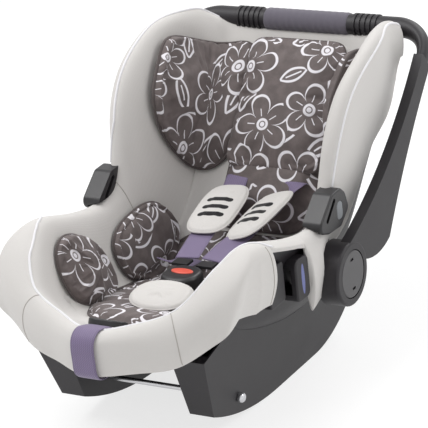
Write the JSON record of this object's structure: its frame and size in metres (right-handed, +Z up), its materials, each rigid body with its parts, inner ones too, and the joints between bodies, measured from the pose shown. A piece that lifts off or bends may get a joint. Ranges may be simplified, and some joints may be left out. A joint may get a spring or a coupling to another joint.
{
  "type": "infant car seat",
  "caption": "Rear-facing infant car seat: padded bucket on rocker runners with a swing carry handle, belt guides and a buckled harness.",
  "frame": {"origin": "on the floor under the middle of the seat's overall box", "axes": "+X to one side of the seat, +Y from the feet to the head, +Z up"},
  "size_m": [0.442, 0.7366, 0.4649],
  "materials": {
    "dark_plastic": "satin",
    "black_plastic": "satin",
    "cap_plastic": "satin",
    "grey_plastic": "satin",
    "blue_plastic": "satin",
    "red_plastic": "satin",
    "steel": "satin",
    "foam": "matte",
    "pale_fabric": "matte",
    "print_fabric": "matte",
    "webbing": "matte",
    "grip_fabric": "matte"
  },
  "bodies": {
    "seat": {"adjuster_housing": "black_plastic", "adjuster_strap": "webbing", "back_pad": "print_fabric", "belt_guide_left": "dark_plastic", "belt_guide_right": "dark_plastic", "belt_hook_left": "dark_plastic", "belt_hook_right": "dark_plastic", "belt_mark_left": "blue_plastic", "belt_mark_right": "blue_plastic", "bucket_shell": "dark_plastic", "buckle_body": "black_plastic", "buckle_tongue_left": "steel", "buckle_tongue_right": "steel", "cross_rod": "steel", "crotch_pad": "pale_fabric", "crotch_strap": "webbing", "foam_liner": "foam", "front_roll": "pale_fabric", "harness_yoke": "steel", "head_cushion": "print_fabric", "head_lobe_left": "print_fabric", "head_lobe_right": "print_fabric", "hip_bolster_left": "print_fabric", "hip_bolster_right": "print_fabric", "hip_strap_left": "webbing", "hip_strap_right": "webbing", "pivot_boss_left": "dark_plastic", "pivot_boss_right": "dark_plastic", "rear_belt_guide": "blue_plastic", "rocker_left": "dark_plastic", "rocker_right": "dark_plastic", "rod_nuts": "steel", "seat_cover": "pale_fabric", "seat_pad": "print_fabric", "shoulder_pad_left": "pale_fabric", "shoulder_pad_right": "pale_fabric", "shoulder_strap_left": "webbing", "shoulder_strap_right": "webbing", "side_panel_left": "dark_plastic", "side_panel_right": "dark_plastic", "thigh_bolster_left": "print_fabric", "thigh_bolster_right": "print_fabric"},
    "handle": {"handle_arm_left": "dark_plastic", "handle_arm_right": "dark_plastic", "handle_bar": "dark_plastic", "handle_grip": "grip_fabric"},
    "handle_release_left": {"handle_button_left": "cap_plastic"},
    "handle_release_right": {"handle_button_right": "cap_plastic"},
    "guide_release_left": {"guide_button_left": "grey_plastic"},
    "guide_release_right": {"guide_button_right": "grey_plastic"},
    "buckle_release": {"buckle_button": "red_plastic"},
    "strap_release": {"adjuster_lever": "black_plastic"}
  },
  "joints": [
    {"name": "handle_turn", "type": "hinge", "parent": "seat", "child": "handle", "pos_m": [0, 0.012, 0.1635], "axis": [1, 0, 0], "range_deg": [-48, 52]},
    {"name": "handle_push_left", "type": "slide", "parent": "handle", "child": "handle_release_left", "axis": [1, 0, 0], "range_m": [0, 0.005], "stiffness_N_per_m": 400},
    {"name": "handle_push_right", "type": "slide", "parent": "handle", "child": "handle_release_right", "axis": [-1, 0, 0], "range_m": [0, 0.005], "stiffness_N_per_m": 400},
    {"name": "guide_push_left", "type": "slide", "parent": "seat", "child": "guide_release_left", "axis": [1, 0, 0], "range_m": [0, 0.004], "stiffness_N_per_m": 300},
    {"name": "guide_push_right", "type": "slide", "parent": "seat", "child": "guide_release_right", "axis": [-1, 0, 0], "range_m": [0, 0.004], "stiffness_N_per_m": 300},
    {"name": "buckle_push", "type": "slide", "parent": "seat", "child": "buckle_release", "axis": [0, 0, -1], "range_m": [0, 0.004], "stiffness_N_per_m": 500, "springref_m": -0.001},
    {"name": "strap_lever_tip", "type": "hinge", "parent": "seat", "child": "strap_release", "pos_m": [0, -0.30627, 0.19955], "axis": [-1, 0, 0], "range_deg": [0, 8], "stiffness_Nm_per_rad": 0.2, "springref_deg": -5.73}
  ]
}
